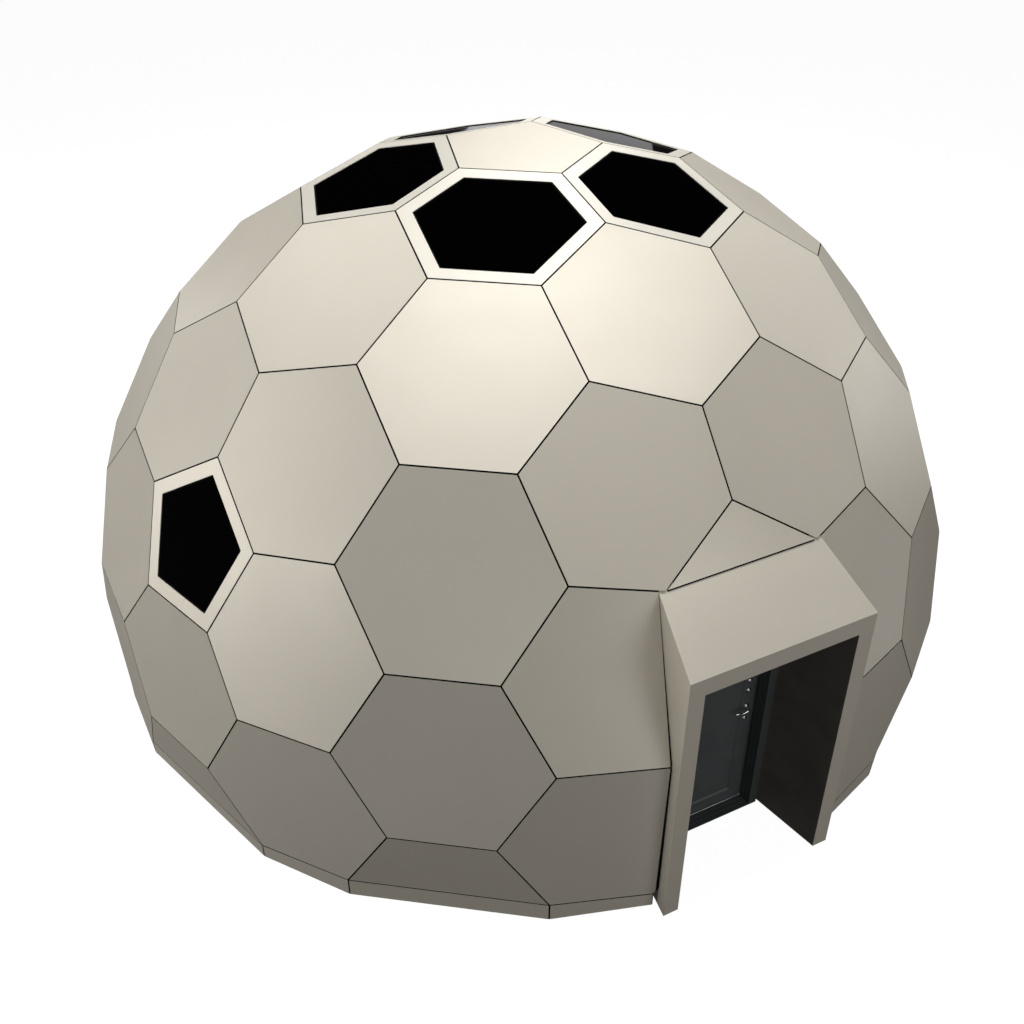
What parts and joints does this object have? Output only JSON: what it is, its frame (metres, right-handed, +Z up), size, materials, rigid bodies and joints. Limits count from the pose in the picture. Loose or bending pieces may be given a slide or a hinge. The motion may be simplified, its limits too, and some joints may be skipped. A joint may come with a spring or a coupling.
{
  "type": "steel dome house",
  "caption": "Faceted dome house of flat steel hexagon and pentagon wall panels with dark glazed skylights and windows, a low plinth and a projecting porch with an inward-opening door.",
  "frame": {"origin": "on the ground under the centre of the dome", "axes": "+Z up, the porch and its door face -Y, +X to the right of the porch seen from outside"},
  "size_m": [6.9954, 7.1113, 4.2788],
  "materials": {
    "cream_paint": "satin cream coating on steel panels",
    "dark_glass": "near-black sealed glazing",
    "porch_lining": "matt dark brown lining sheet",
    "frame_paint": "satin anthracite",
    "leaf_paint": "fine-textured anthracite",
    "chrome": "polished",
    "floor_deck": "matt sealed deck board",
    "gasket": "matt joint gasket"
  },
  "bodies": {
    "shell": {"crown_panel": "cream_paint", "skylight_frame_1": "cream_paint", "skylight_frame_2": "cream_paint", "skylight_frame_3": "cream_paint", "skylight_frame_4": "cream_paint", "skylight_frame_5": "cream_paint", "upper_wall_1": "cream_paint", "upper_wall_2": "cream_paint", "upper_wall_3": "cream_paint", "upper_wall_4": "cream_paint", "upper_wall_5": "cream_paint", "window_frame_1": "cream_paint", "window_frame_2": "cream_paint", "window_frame_3": "cream_paint", "window_frame_4": "cream_paint", "lower_wall_1": "cream_paint", "lower_wall_2": "cream_paint", "lower_wall_3": "cream_paint", "lower_wall_4": "cream_paint", "lower_wall_5": "cream_paint", "gable_panel": "cream_paint", "plinth_right": "cream_paint", "plinth_back": "cream_paint", "plinth_left": "cream_paint", "porch_roof": "cream_paint", "porch_wall_right": "cream_paint", "porch_wall_left": "cream_paint", "skylight_glass_1": "dark_glass", "skylight_glass_2": "dark_glass", "skylight_glass_3": "dark_glass", "skylight_glass_4": "dark_glass", "skylight_glass_5": "dark_glass", "window_glass_1": "dark_glass", "window_glass_2": "dark_glass", "window_glass_3": "dark_glass", "window_glass_4": "dark_glass", "porch_lining_right": "porch_lining", "porch_lining_left": "porch_lining", "porch_ceiling": "porch_lining", "transom_panel": "porch_lining", "floor_deck": "floor_deck", "door_frame": "frame_paint"},
    "door": {"door_leaf": "leaf_paint", "door_handle_outside": "chrome", "door_handle_inside": "chrome"}
  },
  "joints": [
    {"name": "door_hinge", "type": "hinge", "parent": "shell", "child": "door", "pos_m": [-0.424, -2.835, 1], "axis": [0, 0, 1], "range_deg": [0, 100]}
  ]
}
